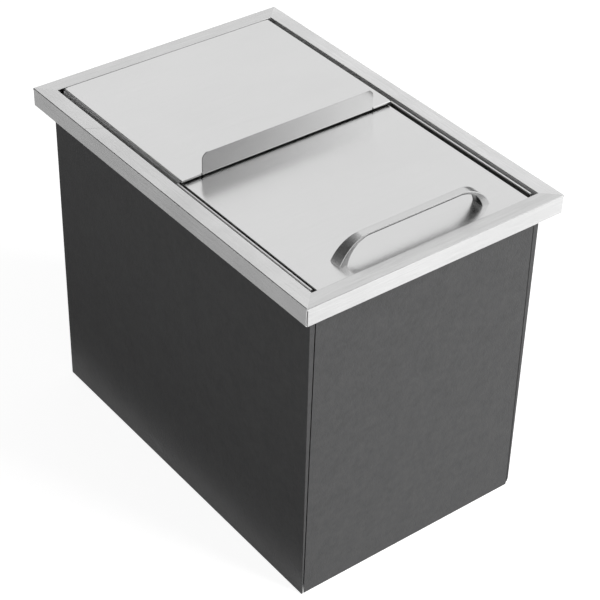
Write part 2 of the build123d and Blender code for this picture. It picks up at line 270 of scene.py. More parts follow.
def round_bar(radius, bottom, top, middle=(0.0, 0.0), count=BAR_STEPS):
    """An upright round bar."""
    return loft([round_ring(radius, height, count, middle) for height in (bottom, top)])


def cut_away(mesh, place, outward):
    """Removes what lies beyond a plane and closes the cut."""
    everything = mesh.verts[:] + mesh.edges[:] + mesh.faces[:]
    cut = bmesh.ops.bisect_plane(mesh, geom=everything, plane_co=place, plane_no=outward, clear_outer=True)
    edges = [part for part in cut["geom_cut"] if isinstance(part, bmesh.types.BMEdge)]
    bmesh.ops.edgeloop_fill(mesh, edges=edges)
    bmesh.ops.recalc_face_normals(mesh, faces=mesh.faces)


def link_object(name, data):
    """Puts data into the scene as an object at the origin."""
    thing = bpy.data.objects.new(name, data)
    bpy.context.scene.collection.objects.link(thing)
    return thing


def add_object(name, mesh):
    """Puts worked mesh into the scene."""
    data = bpy.data.meshes.new(name)
    mesh.to_mesh(data)
    mesh.free()
    return link_object(name, data)


def apply_modifiers(thing):
    """Keeps the modified mesh and removes the modifiers."""
    graph = bpy.context.evaluated_depsgraph_get()
    finished = bpy.data.meshes.new_from_object(thing.evaluated_get(graph), depsgraph=graph)
    finished.name = thing.name
    thing.modifiers.clear()
    thing.data = finished


def add_boolean(thing, cutter, operation="DIFFERENCE"):
    """Cuts another mesh from the object, or joins it on."""
    tool = add_object("cutter", cutter)
    modifier = thing.modifiers.new("cut", "BOOLEAN")
    modifier.operation = operation
    modifier.solver = "EXACT"
    modifier.object = tool
    apply_modifiers(thing)
    bpy.data.objects.remove(tool)


def add_thickness(thing, thickness):
    """Gives a skin its gauge, on the side away from its normals."""
    modifier = thing.modifiers.new("gauge", "SOLIDIFY")
    modifier.thickness = thickness
    modifier.offset = -1.0
    modifier.use_even_offset = True
    apply_modifiers(thing)


def soften_edges(thing, width, sharper_than=50.0, segments=2):
    """Takes the sharpness off the object's edges."""
    modifier = thing.modifiers.new("edges", "BEVEL")
    modifier.width = width
    modifier.segments = segments
    modifier.limit_method = "ANGLE"
    modifier.angle_limit = math.radians(sharper_than)
    modifier.use_clamp_overlap = False
    apply_modifiers(thing)


def shade(thing):
    """Smooth shading that keeps flat faces flat and sharp edges sharp."""
    thing.data.shade_smooth()
    thing.data.set_sharp_from_angle(angle=SHARP_FROM)
    modifier = thing.modifiers.new("flats", "WEIGHTED_NORMAL")
    modifier.keep_sharp = True
    apply_modifiers(thing)


def dress(thing, material, body, slot, *nodes):
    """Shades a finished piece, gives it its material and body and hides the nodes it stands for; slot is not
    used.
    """
    shade(thing)
    thing.data.materials.clear()
    thing.data.materials.append(material)
    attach(thing, body)
    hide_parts(*nodes)


# Rear lid

def level_skin(mesh, xs, ys, height, missing):
    """Level skin in cells between the given places; returns its points by column and row."""
    points = {}
    for i, x in enumerate(xs):
        for j, y in enumerate(ys):
            points[i, j] = mesh.verts.new((x, y, height))
    for i in range(len(xs) - 1):
        for j in range(len(ys) - 1):
            if (i, j) not in missing:
                mesh.faces.new((points[i, j], points[i + 1, j], points[i + 1, j + 1], points[i, j + 1]))
    return points


def add_flap(mesh, root, outward, path):
    """Rows of skin beyond an edge, along places (out, up) or (out, up, narrower) from that edge."""
    middle = (root[0].co + root[-1].co) / 2
    half = (root[-1].co - root[0].co).length / 2
    start = [vert.co.copy() for vert in root]
    previous = root
    for place in path:
        narrower = place[2] if len(place) > 2 else 0.0
        across = (half - narrower) / half
        shift = outward * place[0] + UP * place[1]
        row = [mesh.verts.new(middle + (point - middle) * across + shift) for point in start]
        for k in range(len(row) - 1):
            mesh.faces.new((previous[k], previous[k + 1], row[k + 1], row[k]))
        previous = row


def settle_skin(mesh):
    """Turns all of an open skin the same way, with its level part facing up."""
    loose = [vert for vert in mesh.verts if not vert.link_faces]
    bmesh.ops.delete(mesh, geom=loose, context="VERTS")
    bmesh.ops.recalc_face_normals(mesh, faces=mesh.faces)
    widest = max(mesh.faces, key=lambda face: face.calc_area())
    if widest.normal.z < 0:
        bmesh.ops.reverse_faces(mesh, faces=mesh.faces)


def bend_down(radius, sweep=QUARTER, steps=FOLD_STEPS):
    """Path from a level sheet round a bend that leads down."""
    return [(out, -fall) for out, fall in arc(radius, sweep, steps)]


def side_hem_path():
    """Path down the rear lid's side, round its hem and up again outside."""
    fall = rear_lid_top - rear_low.z - SHEET - HEM_GAP / 2
    path = bend_down(LID_FOLD) + [(LID_FOLD, -fall)]
    path += [(LID_FOLD + out, -fall - down) for down, out in arc(HEM_GAP / 2, math.pi)]
    path.append((LID_FOLD + HEM_GAP, rim_top - SIDE_HEM_DROP - rear_lid_top))
    return path


def lip_path():
    """Path up the rear lid's lip, which narrows at its rounded corners."""
    path = list(arc(LIP_BEND)) + [(LIP_BEND, LIP_HEIGHT - LIP_CORNER)]
    for rise, narrower in arc(LIP_CORNER, steps=CORNER_STEPS):
        path.append((LIP_BEND, LIP_HEIGHT - LIP_CORNER + rise, narrower))
    return path


def make_lip_hem(half_width):
    """The front hem where it runs on under the lip, as one section drawn across the lid."""
    front = rear_low.y + LIP_HEM_SETBACK
    bottom = rear_lid_top - 2 * FRONT_HEM_RADIUS
    join = rear_lid_top - SHEET / 2
    section = [(front + FRONT_HEM, join), (front + LIP_BEND, join), (front, rear_lid_top + LIP_BEND)]
    section += [(front + away, bottom + rise) for away, rise in fold_over(FRONT_HEM_RADIUS)]
    section.append((front + FRONT_HEM, bottom))
    return loft([[Vector((x, y, z)) for y, z in section] for x in (-half_width, half_width)])


def make_rear_lid():
    """Rear lid: one sheet with hemmed sides, a rear flange, and a lip bent up between two front hems."""
    half = rear_high.x - HEM_GAP - SHEET
    lip_half = half - LIP_SIDE_GAP
    front = rear_low.y
    half_xs = [half - LID_FOLD, half - REAR_FLANGE_NOTCH, lip_half + FRONT_HEM_GAP, lip_half]
    xs = [-x for x in half_xs] + half_xs[::-1]
    ys = [front + FRONT_HEM_RADIUS, front + SHEET + LIP_BEND, rail_high.y + SIDE_HEM_START,
          rear_high.y - LID_REAR_FOLD]
    slits_and_lip = {(2, 0), (3, 0), (4, 0)}
    mesh = bmesh.new()
    points = level_skin(mesh, xs, ys, rear_lid_top, slits_and_lip)

    add_flap(mesh, [points[0, 3], points[0, 2]], -RIGHTWARDS, side_hem_path())
    add_flap(mesh, [points[7, 2], points[7, 3]], RIGHTWARDS, side_hem_path())
    front_hem = bend_down(FRONT_HEM_RADIUS, math.pi, 2 * FOLD_STEPS)
    front_hem.append((FRONT_HEM_RADIUS - FRONT_HEM, -2 * FRONT_HEM_RADIUS))
    for columns in (range(0, 3), range(5, 8)):
        add_flap(mesh, [points[k, 0] for k in columns], -REARWARDS, front_hem)
    rear_flange = bend_down(LID_REAR_FOLD) + [(LID_REAR_FOLD, -REAR_FLANGE)]
    add_flap(mesh, [points[k, 3] for k in range(1, 7)], REARWARDS, rear_flange)
    add_flap(mesh, [points[3, 1], points[4, 1]], -REARWARDS, lip_path())

    settle_skin(mesh)
    lid = add_object("rear_lid_sheet", mesh)
    add_thickness(lid, SHEET)
    add_boolean(lid, make_lip_hem(lip_half - LIP_HEM_SHORTER), "UNION")
    soften_edges(lid, SHEET_EDGE)
    return lid


# Front lid, rim, tub and rails

def make_front_lid():
    """Front lid: a shallow tray turned upside down, with a low rear flange and holes for the handle."""
    middle_y = (front_low.y + front_high.y) / 2
    half_x, half_y = front_high.x, (front_high.y - front_low.y) / 2
    top, bottom = front_high.z, front_low.z

    def ring(inset, height, corner):
        return rounded_rectangle(half_x - inset, half_y - inset, height, corner, middle_y)

    rings = [ring(SHEET, top - SHEET, SHEET_EDGE), ring(SHEET, bottom, SHEET_EDGE)]
    rings.append(ring(0.0, bottom, TRAY_FOLD))
    rings += [ring(inset, top - fall, TRAY_FOLD - inset) for inset, fall in fold_over(TRAY_FOLD)]
    lid = add_object("front_lid_sheet", loft(rings))
    under_flange = block(
        (-half_x + SHEET, front_high.y - 2 * SHEET, bottom - SHEET),
        (half_x - SHEET, front_high.y + SHEET, top - SHEET - FRONT_LID_REAR_FLANGE),
    )
    add_boolean(lid, under_flange)
    for x in handle_screw_places():
        add_boolean(lid, round_bar(SCREW_HOLE, top - 3 * SHEET, top + SHEET, (x, handle_middle_y)))
    soften_edges(lid, SHEET_EDGE)
    return lid


def make_rim():
    """Rim frame: the folded section carried round the four sides, with open seams at the skirt's corners."""
    bottom = rim_low.z
    half_x, half_y = rim_high.x, rim_high.y

    def skirt(inset, height, corner=0.0):
        return rounded_rectangle(half_x - inset, half_y - inset, height, corner)

    def well(outset, height):
        x, y = half_x - RIM_SIDE_LAND + outset, half_y - RIM_END_LAND + outset
        return rounded_rectangle(x, y, height, 0.0)

    section = [rounded_rectangle(tub_inner_x, tub_inner_y, z, TUB_CORNER) for z in (ledge_bottom, ledge_top)]
    section.append(well(0.0, ledge_top))
    section += [well(outset, rim_top - fall) for outset, fall in fold_over(RIM_INNER_FOLD)]
    section += [skirt(inset, rim_top - fall, SKIRT_CORNER) for fall, inset in fold_over(SKIRT_FOLD)]
    section += [skirt(inset, bottom + rise, SKIRT_CORNER) for inset, rise in fold_over(SKIRT_FOLD)]
    section += [skirt(SHEET + SKIRT_HEM, bottom), skirt(SHEET + SKIRT_HEM, bottom + SHEET)]
    section += [skirt(SHEET, bottom + SHEET), skirt(SHEET, rim_top - SHEET)]
    section += [well(SHEET, rim_top - SHEET), well(SHEET, ledge_bottom)]
    rim = add_object("rim_frame_sheet", loft(section, closed=True))
    for side in (-1, 1):
        for end in (-1, 1):
            inner = (side * (half_x - SKIRT_SEAM), end * (half_y - SKIRT_SEAM), bottom - SHEET)
            outer = (side * (half_x + SHEET), end * (half_y + SHEET), rim_top - SKIRT_SEAM_START)
            add_boolean(rim, block(inner, outer))
    return rim


def wall_bend(half_x, half_y, corner, bend, level):
    """Rings down the last of the tub's walls and round the bend to its floor."""
    for inset, rise in fold_over(bend):
        yield rounded_rectangle(half_x - inset, half_y - inset, level + rise, corner - inset)


def make_tub():
    """Inner tub: drawn walls with round corners, an out-turned flange, a sump and the drain's hole."""
    outer_x, outer_y, outer_corner = tub_inner_x + SHEET, tub_inner_y + SHEET, TUB_CORNER + SHEET
    flange_corner = TUB_CORNER + tub_high.x - tub_inner_x
    floor = slab_high.z + SHEET
    sump_floor = tub_low.z + SHEET
    count = len(CORNERS) * (CORNER_STEPS + 1)
    hole = THREAD_RADIUS + DRAIN_HOLE_CLEARANCE
    rings = [rounded_rectangle(tub_inner_x, tub_inner_y, ledge_bottom, TUB_CORNER)]
    rings += wall_bend(tub_inner_x, tub_inner_y, TUB_CORNER, TUB_FLOOR_BEND, floor)
    bend_radius, bend_low = SUMP_RADIUS + SUMP_BEND, floor - SUMP_BEND
    sump = [(bend_radius - inset, bend_low + rise) for inset, rise in fold_over(SUMP_BEND)]
    sump += [(SUMP_RADIUS, sump_floor), (hole, sump_floor), (hole, tub_low.z)]
    sump += [(SUMP_RADIUS + SHEET, tub_low.z), (SUMP_RADIUS + SHEET, slab_high.z)]
    rings += [round_ring(radius, height, count) for radius, height in sump]
    outer_bend = wall_bend(outer_x, outer_y, outer_corner, TUB_FLOOR_BEND + SHEET, slab_high.z)
    rings += reversed(list(outer_bend))
    rings.append(rounded_rectangle(outer_x, outer_y, ledge_bottom - SHEET, outer_corner))
    for height in (ledge_bottom - SHEET, ledge_bottom):
        rings.append(rounded_rectangle(tub_high.x, tub_high.y, height, flange_corner))
    return add_object("inner_tub_shell", loft(rings, closed=True))


def make_rail(side):
    """Hemmed rail beside the front lid, as one section drawn along the ledge."""
    low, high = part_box("lid_rail_right")
    lip, wall = low.x + SHEET, high.x - RAIL_WALL
    section = [(low.x, low.z), (high.x, low.z)]
    section += [(high.x - inset, high.z - fall) for inset, fall in fold_over(RAIL_HEM_ROUND)]
    section += [(wall + inset, high.z - fall) for fall, inset in fold_over(RAIL_HEM_ROUND)]
    section += [(wall, low.z + SHEET), (lip, low.z + SHEET)]
    section += [(lip, low.z + RAIL_LIP), (low.x, low.z + RAIL_LIP)]
    rings = [[Vector((side * x, y, z)) for x, z in section] for y in (low.y, high.y)]
    rail = add_object("rail_left_strip" if side < 0 else "rail_right_strip", loft(rings))
    soften_edges(rail, SHEET_EDGE)
    return rail


# Foam jacket

def seam_plane(side, end):
    """A place on the slanting cut between a long and an end sheet, and its normal towards the long one."""
    nose = (FOAM_NOSE_TOP + FOAM_NOSE_BASE) / 2
    place = Vector((side * (jacket_half_x - FOAM_NOSE_BASE), end * jacket_half_y, 0))
    up_the_seam = Vector((side * (FOAM_NOSE_BASE - FOAM_NOSE_TOP), 0, jacket_high.z))
    into_corner = Vector((-side * (FOAM_THICKNESS - nose), -end * FOAM_THICKNESS, 0))
    return place, up_the_seam.cross(into_corner).normalized() * (side * end)


def cut_clipped_corner(mesh):
    """Cuts the front right foot of the jacket, where the sheet's corner is missing."""
    foot = Vector((jacket_half_x, -jacket_half_y, 0))
    above = foot + Vector((0, 0, CLIPPED_CORNER.z))
    beside = foot - Vector((CLIPPED_CORNER.x, 0, 0))
    behind = foot + Vector((0, CLIPPED_CORNER.y, 0))
    normal = (beside - above).cross(behind - above).normalized()
    cut_away(mesh, above, normal if normal.x > 0 else -normal)


def foam_sheet(name, first, second, cuts, clipped):
    """A foam sheet between two corners, cut along planes and perhaps at the clipped corner."""
    mesh = block(first, second)
    for place, normal in cuts:
        cut_away(mesh, place, normal)
    if clipped:
        cut_clipped_corner(mesh)
    sheet = add_object(name, mesh)
    soften_edges(sheet, FOAM_EDGE, FOAM_EDGE_FROM, FOAM_EDGE_STEPS)
    for vert in sheet.data.vertices:
        vert.co.z = max(vert.co.z, 0.0)
    return sheet


def make_long_sheet(side):
    """Left or right foam sheet, cut at a slant where it meets the end sheets."""
    outer, inner = side * jacket_half_x, side * (jacket_half_x - FOAM_THICKNESS)
    seams = [seam_plane(side, end) for end in (-1, 1)]
    cuts = [(place, -normal) for place, normal in seams]
    name = "foam_sheet_left" if side < 0 else "foam_sheet_right"
    low, high = (outer, -jacket_half_y, 0), (inner, jacket_half_y, jacket_high.z)
    return foam_sheet(name, low, high, cuts, clipped=side > 0)


def make_end_sheet(end):
    """Front or rear foam sheet between the long sheets."""
    outer, inner = end * jacket_half_y, end * (jacket_half_y - FOAM_THICKNESS)
    seams = [seam_plane(side, end) for side in (-1, 1)]
    cuts = [(place - normal * FOAM_JOINT, normal) for place, normal in seams]
    name = "foam_sheet_front" if end < 0 else "foam_sheet_rear"
    low, high = (-jacket_half_x, outer, 0), (jacket_half_x, inner, jacket_high.z)
    return foam_sheet(name, low, high, cuts, clipped=end < 0)


def make_bottom_slab():
    """Foam slab under the tub with a square pocket round the drain."""
    pocket = FOAM_POCKET / 2
    section = [(slab_high.x, slab_high.y, slab_low.z), (slab_high.x, slab_high.y, slab_high.z),
               (pocket, pocket, slab_high.z), (pocket, pocket, slab_low.z)]
    rings = [[Vector((x * half_x, y * half_y, z)) for x, y in CORNERS] for half_x, half_y, z in section]
    slab = add_object("foam_slab_bottom", loft(rings, closed=True))
    soften_edges(slab, FOAM_EDGE, segments=FOAM_EDGE_STEPS)
    return slab


# Handle and its screws

def handle_arc(reach, drop):
    """Radius and angle of an arc that leaves level and falls by drop over the reach."""
    radius = (reach * reach + drop * drop) / (2 * drop)
    return radius, math.asin(min(1.0, reach / radius))


def handle_ring(top, under, half_depth):
    """Ring of points round the bar between a place on its top and one on its underside, both (x, z)."""
    across = Vector((top[0] - under[0], 0, top[1] - under[1]))
    middle = Vector((top[0] + under[0], 0, top[1] + under[1])) / 2 + Vector((0, handle_middle_y, 0))
    half = across.length / 2
    along = across.normalized()
    points = []
    for quarter, (near, upper) in enumerate(CORNERS):
        edge = HANDLE_TOP_EDGE if upper > 0 else HANDLE_UNDER_EDGE
        for step in range(HANDLE_EDGE_STEPS + 1):
            angle = QUARTER * (quarter + step / HANDLE_EDGE_STEPS)
            y = near * (half_depth - edge) + edge * math.cos(angle)
            rise = upper * (half - edge) + edge * math.sin(angle)
            points.append(middle + Vector((0, y, 0)) + along * rise)
    return points


def make_handle():
    """Bow handle: a flat bar that runs in two arcs down to wedge-shaped feet, wider at the feet."""
    top, rise = handle_high.z, handle_high.z - handle_low.z
    half_span, half_flat = handle_high.x, HANDLE_FLAT / 2
    foot_depth = handle_high.y - handle_low.y
    top_radius, top_angle = handle_arc(half_span - half_flat, rise)
    under_reach, under_drop = half_span - HANDLE_FOOT_WIDTH - half_flat, rise - HANDLE_THICKNESS
    under_radius, under_angle = handle_arc(under_reach, under_drop)
    arm = []
    for step in range(HANDLE_ARM_STEPS + 1):
        share = step / HANDLE_ARM_STEPS
        top_turn, under_turn = top_angle * share, under_angle * share
        top_x = half_flat + top_radius * math.sin(top_turn)
        top_z = top - top_radius * (1 - math.cos(top_turn))
        under_x = half_flat + under_radius * math.sin(under_turn)
        under_z = top - HANDLE_THICKNESS - under_radius * (1 - math.cos(under_turn))
        widening = (top_x - half_flat) / (half_span - half_flat)
        half_depth = (HANDLE_DEPTH + (foot_depth - HANDLE_DEPTH) * widening) / 2
        arm.append(((top_x, top_z), (under_x, under_z), half_depth))
    left_arm = [((-over[0], over[1]), (-under[0], under[1]), depth) for over, under, depth in reversed(arm)]
    rings = [handle_ring(*stage) for stage in left_arm + arm]
    handle = add_object("bow_handle", loft(rings))
    mark_lower_edge(handle.data, len(rings[0]), half_flat, half_span)
    return handle


def mark_lower_edge(mesh, ring_points, half_flat, half_span):
    """Writes each point's share of painted shade along the lower edge: all on the flat bar, none at the feet.
    """
    share = mesh.attributes.new("lower_edge", "FLOAT", "POINT")
    for index, vert in enumerate(mesh.vertices):
        lower = index % ring_points >= ring_points // 2
        down_the_arm = max(0.0, abs(vert.co.x) - half_flat) / (half_span - half_flat)
        share.data[index].value = max(0.0, 1.0 - LOWER_EDGE_FADE * down_the_arm) if lower else 0.0


def screw_mesh(head_diameter, head_height, length, up):
    """Pan-head screw at the origin: its head's flat at height 0 and its shank running away from the head."""
    shank, head = SCREW_DIAMETER / 2, head_diameter / 2
    crown = head_height * SCREW_CROWN_HEIGHT
    outline = [(shank - SCREW_TIP, -length), (shank, -length + SCREW_TIP), (shank, 0.0), (head, 0.0)]
    outline += [(head - SCREW_CROWN_SPREAD * inset, head_height - fall) for inset, fall in fold_over(crown)]
    screw = add_object("screw_pattern", loft([round_ring(r, up * z, SCREW_STEPS) for r, z in outline]))
    floor, above = up * (head_height - SCREW_DRIVE_DEPTH), up * (head_height + SHEET)
    for long, wide in ((SCREW_DRIVE_LENGTH, SCREW_DRIVE_WIDTH), (SCREW_DRIVE_WIDTH, SCREW_DRIVE_LENGTH)):
        add_boolean(screw, block((-long / 2, -wide / 2, floor), (long / 2, wide / 2, above)))
    return screw


def handle_screw_places():
    """Places along X of the screws in the handle's feet."""
    low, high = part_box("handle_screws")
    inset = HANDLE_SCREW_HEAD / 2
    return low.x + inset, high.x - inset


# Wiring of nodes: where a mixing node keeps its colour sockets among others of the same names

COLOUR_A = 6
COLOUR_B = 7
COLOUR_RESULT = 2


class Wiring:
    """Short ways to add and link nodes in one tree."""

    def __init__(self, tree):
        self.nodes = tree.nodes
        self.links = tree.links

    def put(self, socket, value):
        """Sets a socket, or links it to another one."""
        if isinstance(value, bpy.types.NodeSocket):
            self.links.new(value, socket)
        else:
            socket.default_value = value

    def add(self, kind, **inputs):
        """A new node whose inputs are set by their names."""
        node = self.nodes.new(kind)
        for title, value in inputs.items():
            self.put(node.inputs[title.replace("_", " ")], value)
        return node

    def maths(self, operation, first, second=0.0):
        node = self.nodes.new("ShaderNodeMath")
        node.operation = operation
        self.put(node.inputs[0], first)
        self.put(node.inputs[1], second)
        return node.outputs[0]

    def plus(self, first, second):
        return self.maths("ADD", first, second)

    def minus(self, first, second):
        return self.maths("SUBTRACT", first, second)

    def times(self, first, second):
        return self.maths("MULTIPLY", first, second)

    def stretch(self, place, factors):
        """Multiplies each part of a vector by its own factor."""
        node = self.nodes.new("ShaderNodeVectorMath")
        node.operation = "MULTIPLY"
        self.put(node.inputs[0], place)
        self.put(node.inputs[1], factors)
        return node.outputs[0]

    def scale(self, vector, factor):
        """Multiplies a vector or colour by one factor."""
        node = self.nodes.new("ShaderNodeVectorMath")
        node.operation = "SCALE"
        self.put(node.inputs[0], vector)
        self.put(node.inputs["Scale"], factor)
        return node.outputs[0]

    def join(self, x=0.0, y=0.0, z=0.0):
        return self.add("ShaderNodeCombineXYZ", X=x, Y=y, Z=z).outputs[0]

    def split(self, vector):
        return self.add("ShaderNodeSeparateXYZ", Vector=vector).outputs

    def noise(self, place, scale, detail=2.0, roughness=0.5):
        node = self.add("ShaderNodeTexNoise", Vector=place, Scale=scale, Detail=detail, Roughness=roughness)
        return node.outputs["Fac"]

    def cells(self, place, scale, smoothness=None):
        """Distance to the nearest of many scattered points, rounded off by a smoothness if one is given."""
        node = self.nodes.new("ShaderNodeTexVoronoi")
        self.put(node.inputs["Vector"], place)
        self.put(node.inputs["Scale"], scale)
        if smoothness is not None:
            node.feature = "SMOOTH_F1"
            self.put(node.inputs["Smoothness"], smoothness)
        return node.outputs["Distance"]

    def between(self, value, low, high, to_low=0.0, to_high=1.0):
        """Carries a value's range over to another range and holds it there."""
        node = self.nodes.new("ShaderNodeMapRange")
        node.clamp = True
        titles = ("Value", "From Min", "From Max", "To Min", "To Max")
        for title, given in zip(titles, (value, low, high, to_low, to_high)):
            self.put(node.inputs[title], given)
        return node.outputs["Result"]

    def mix(self, share, first, second):
        """A number between two."""
        node = self.nodes.new("ShaderNodeMix")
        node.data_type = "FLOAT"
        self.put(node.inputs["Factor"], share)
        self.put(node.inputs["A"], first)
        self.put(node.inputs["B"], second)
        return node.outputs["Result"]

    def blend(self, share, first, second):
        """A colour between two."""
        node = self.nodes.new("ShaderNodeMix")
        node.data_type = "RGBA"
        self.put(node.inputs["Factor"], share)
        self.put(node.inputs[COLOUR_A], first)
        self.put(node.inputs[COLOUR_B], second)
        return node.outputs[COLOUR_RESULT]

    def group(self, tree, **inputs):
        """A node that runs a group; returns its outputs."""
        node = self.nodes.new("ShaderNodeGroup")
        node.node_tree = tree
        for title, value in inputs.items():
            self.put(node.inputs[title.replace("_", " ")], value)
        return node.outputs


def new_group(name, inputs, outputs, tree_kind="ShaderNodeTree", output_kind="Float"):
    """An empty node group; inputs map a name to its number, or to the kind of a socket that has none."""
    tree = bpy.data.node_groups.new(name, tree_kind)
    for title, value in inputs.items():
        kind = value if isinstance(value, str) else "Int" if isinstance(value, int) else "Float"
        socket = tree.interface.new_socket(title, in_out="INPUT", socket_type="NodeSocket" + kind)
        if kind != value:
            socket.default_value = value
    for title in outputs:
        tree.interface.new_socket(title, in_out="OUTPUT", socket_type="NodeSocket" + output_kind)
    wire = Wiring(tree)
    given = wire.nodes.new("NodeGroupInput").outputs
    made = wire.nodes.new("NodeGroupOutput").inputs
    return tree, wire, given, made


def fresh_wiring(owner):
    """Empties the nodes of a material or a world and returns their wiring."""
    owner.use_nodes = True
    owner.node_tree.nodes.clear()
    return Wiring(owner.node_tree)


# Repeated pieces, laid out by geometry nodes

def new_layout(name, sizes):
    """An empty geometry tree with named number inputs."""
    inputs = {"Geometry": "Geometry", **sizes}
    return new_group(name + "_layout", inputs, ["Geometry"], "GeometryNodeTree", "Geometry")


def close_layout(wire, geometry, material, made):
    """Ends a tree: its copies become real and take their material."""
    real = wire.add("GeometryNodeRealizeInstances", Geometry=geometry)
    finish = wire.add("GeometryNodeSetMaterial", Geometry=real.outputs["Geometry"], Material=material)
    wire.put(made["Geometry"], finish.outputs["Geometry"])


def run_layout(name, tree, sizes):
    """Gives sizes to a tree by their sockets' identifiers and keeps the mesh that it makes."""
    maker = link_object(name, bpy.data.meshes.new(name))
    modifier = maker.modifiers.new("layout", "NODES")
    modifier.node_group = tree
    for socket in tree.interface.items_tree:
        if socket.in_out == "INPUT" and socket.name in sizes:
            modifier[socket.identifier] = sizes[socket.name]
    apply_modifiers(maker)
    return maker


def row_of_copies(name, pattern, material, sizes):
    """Copies of a pattern piece along a line on X, from named start, spacing, count, place and height."""
    tree, wire, given, made = new_layout(name, sizes)
    start = wire.join(given["Start X"], given["Place Y"], given["Height"])
    spacing = wire.join(given["Spacing"])
    line = wire.add("GeometryNodeMeshLine", Count=given["Count"], Start_Location=start, Offset=spacing)
    source = wire.add("GeometryNodeObjectInfo", Object=pattern).outputs["Geometry"]
    copies = wire.add("GeometryNodeInstanceOnPoints", Points=line.outputs["Mesh"], Instance=source)
    close_layout(wire, copies.outputs["Instances"], material, made)
    row = run_layout(name, tree, sizes)
    bpy.data.objects.remove(pattern)
    return row


def perforated_disc(name, material, sizes):
    """The strainer: rings of holes cut through a disc, from named sizes."""
    tree, wire, given, made = new_layout(name, sizes)

    def upright_bar(radius, depth, sides):
        bar = wire.add("GeometryNodeMeshCylinder", Vertices=sides, Radius=radius, Depth=depth)
        return bar.outputs["Mesh"]

    hole_radius = wire.maths("DIVIDE", given["Hole Diameter"], 2.0)
    through = wire.times(given["Thickness"], 3.0)
    hole = upright_bar(hole_radius, through, STRAINER_HOLE_STEPS)
    holes = wire.nodes.new("GeometryNodeJoinGeometry")
    for ring in range(1, STRAINER_RINGS + 1):
        radius = wire.plus(wire.times(given["Ring Pitch"], float(ring)), hole_radius)
        count = wire.times(given["Holes per Ring"], float(ring))
        circle = wire.add("GeometryNodeMeshCircle", Vertices=count, Radius=radius).outputs["Mesh"]
        copies = wire.add("GeometryNodeInstanceOnPoints", Points=circle, Instance=hole)
        wire.put(holes.inputs["Geometry"], copies.outputs["Instances"])
    screw_hole = upright_bar(wire.maths("DIVIDE", given["Screw Hole"], 2.0), through, BAR_STEPS)
    wire.put(holes.inputs["Geometry"], screw_hole)
    real_holes = wire.add("GeometryNodeRealizeInstances", Geometry=holes.outputs["Geometry"])
    disc = upright_bar(wire.maths("DIVIDE", given["Diameter"], 2.0), given["Thickness"], ROUND_STEPS)
    cut = wire.nodes.new("GeometryNodeMeshBoolean")
    cut.operation = "DIFFERENCE"
    cut.solver = "EXACT"
    wire.put(cut.inputs["Mesh 1"], disc)
    wire.put(cut.inputs["Mesh 2"], real_holes.outputs["Geometry"])
    lift = wire.join(z=given["Height"])
    lifted = wire.add("GeometryNodeTransform", Geometry=cut.outputs["Mesh"], Translation=lift)
    close_layout(wire, lifted.outputs["Geometry"], material, made)
    return run_layout(name, tree, sizes)


# Drain

def make_drain_body():
    """Drain: flange in the sump, helical thread through the tub's floor and a plain tail."""
    low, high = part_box("drain_body")
    flange_radius = high.x
    seat = high.z - DRAIN_FLANGE
    thread_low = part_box("drain_locknut")[0].z - THREAD_BELOW_NUT
    recess_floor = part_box("drain_strainer")[0].z
    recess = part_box("drain_strainer")[1].x + STRAINER_SEAT_CLEARANCE
    root = THREAD_RADIUS - THREAD_DEPTH
    flange = [(recess, high.z), (flange_radius - DRAIN_EDGE, high.z), (flange_radius, high.z - DRAIN_EDGE),
              (flange_radius, seat), (root, seat)]
    tail = [(root, thread_low), (DRAIN_TAIL, thread_low - DRAIN_EDGE), (DRAIN_TAIL, low.z + DRAIN_EDGE),
            (DRAIN_TAIL - DRAIN_EDGE, low.z), (DRAIN_BORE, low.z), (DRAIN_BORE, recess_floor),
            (recess, recess_floor)]
    rings = [round_ring(radius, height) for radius, height in flange]
    rows = round((seat - thread_low) / THREAD_PITCH * THREAD_ROWS_PER_PITCH)
    rings += [thread_ring(seat - (seat - thread_low) * row / rows) for row in range(1, rows)]
    rings += [round_ring(radius, height) for radius, height in tail]
    return add_object("drain_spigot", loft(rings, closed=True))


def thread_ring(height):
    """Ring of points on the thread at a height; the crest climbs a pitch in one turn."""
    ring = []
    for k in range(ROUND_STEPS):
        angle = (k + 0.5) * 2 * math.pi / ROUND_STEPS
        phase = (height / THREAD_PITCH - k / ROUND_STEPS) % 1.0
        radius = THREAD_RADIUS - THREAD_DEPTH * abs(2 * phase - 1)
        ring.append(Vector((radius * math.cos(angle), radius * math.sin(angle), height)))
    return ring


def make_cross_bar():
    """Bar across the drain's bore with rounded ends and softened edges, drilled for the strainer's screw."""
    low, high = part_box("drain_cross_bar")
    bar = add_object("drain_bridge", round_bar(high.x, low.z, high.z, count=ROUND_STEPS))
    add_boolean(bar, block((2 * low.x, low.y, low.z / 2), (2 * high.x, high.y, 2 * high.z)), "INTERSECT")
    add_boolean(bar, round_bar(SCREW_HOLE, low.z - SHEET, high.z + SHEET))
    soften_edges(bar, SHEET_EDGE)
    return bar


def make_flat_ring(node, edge):
    """Gasket or washer round the drain's thread."""
    low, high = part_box(node)
    hole = THREAD_RADIUS + THREAD_CLEARANCE
    outer = high.x
    section = [(hole + edge, low.z), (hole, low.z + edge), (hole, high.z - edge), (hole + edge, high.z)]
    section += [(outer - edge, high.z), (outer, high.z - edge), (outer, low.z + edge), (outer - edge, low.z)]
    rings = [round_ring(radius, height) for radius, height in section]
    return add_object(node.replace("drain", "outlet"), loft(rings, closed=True))


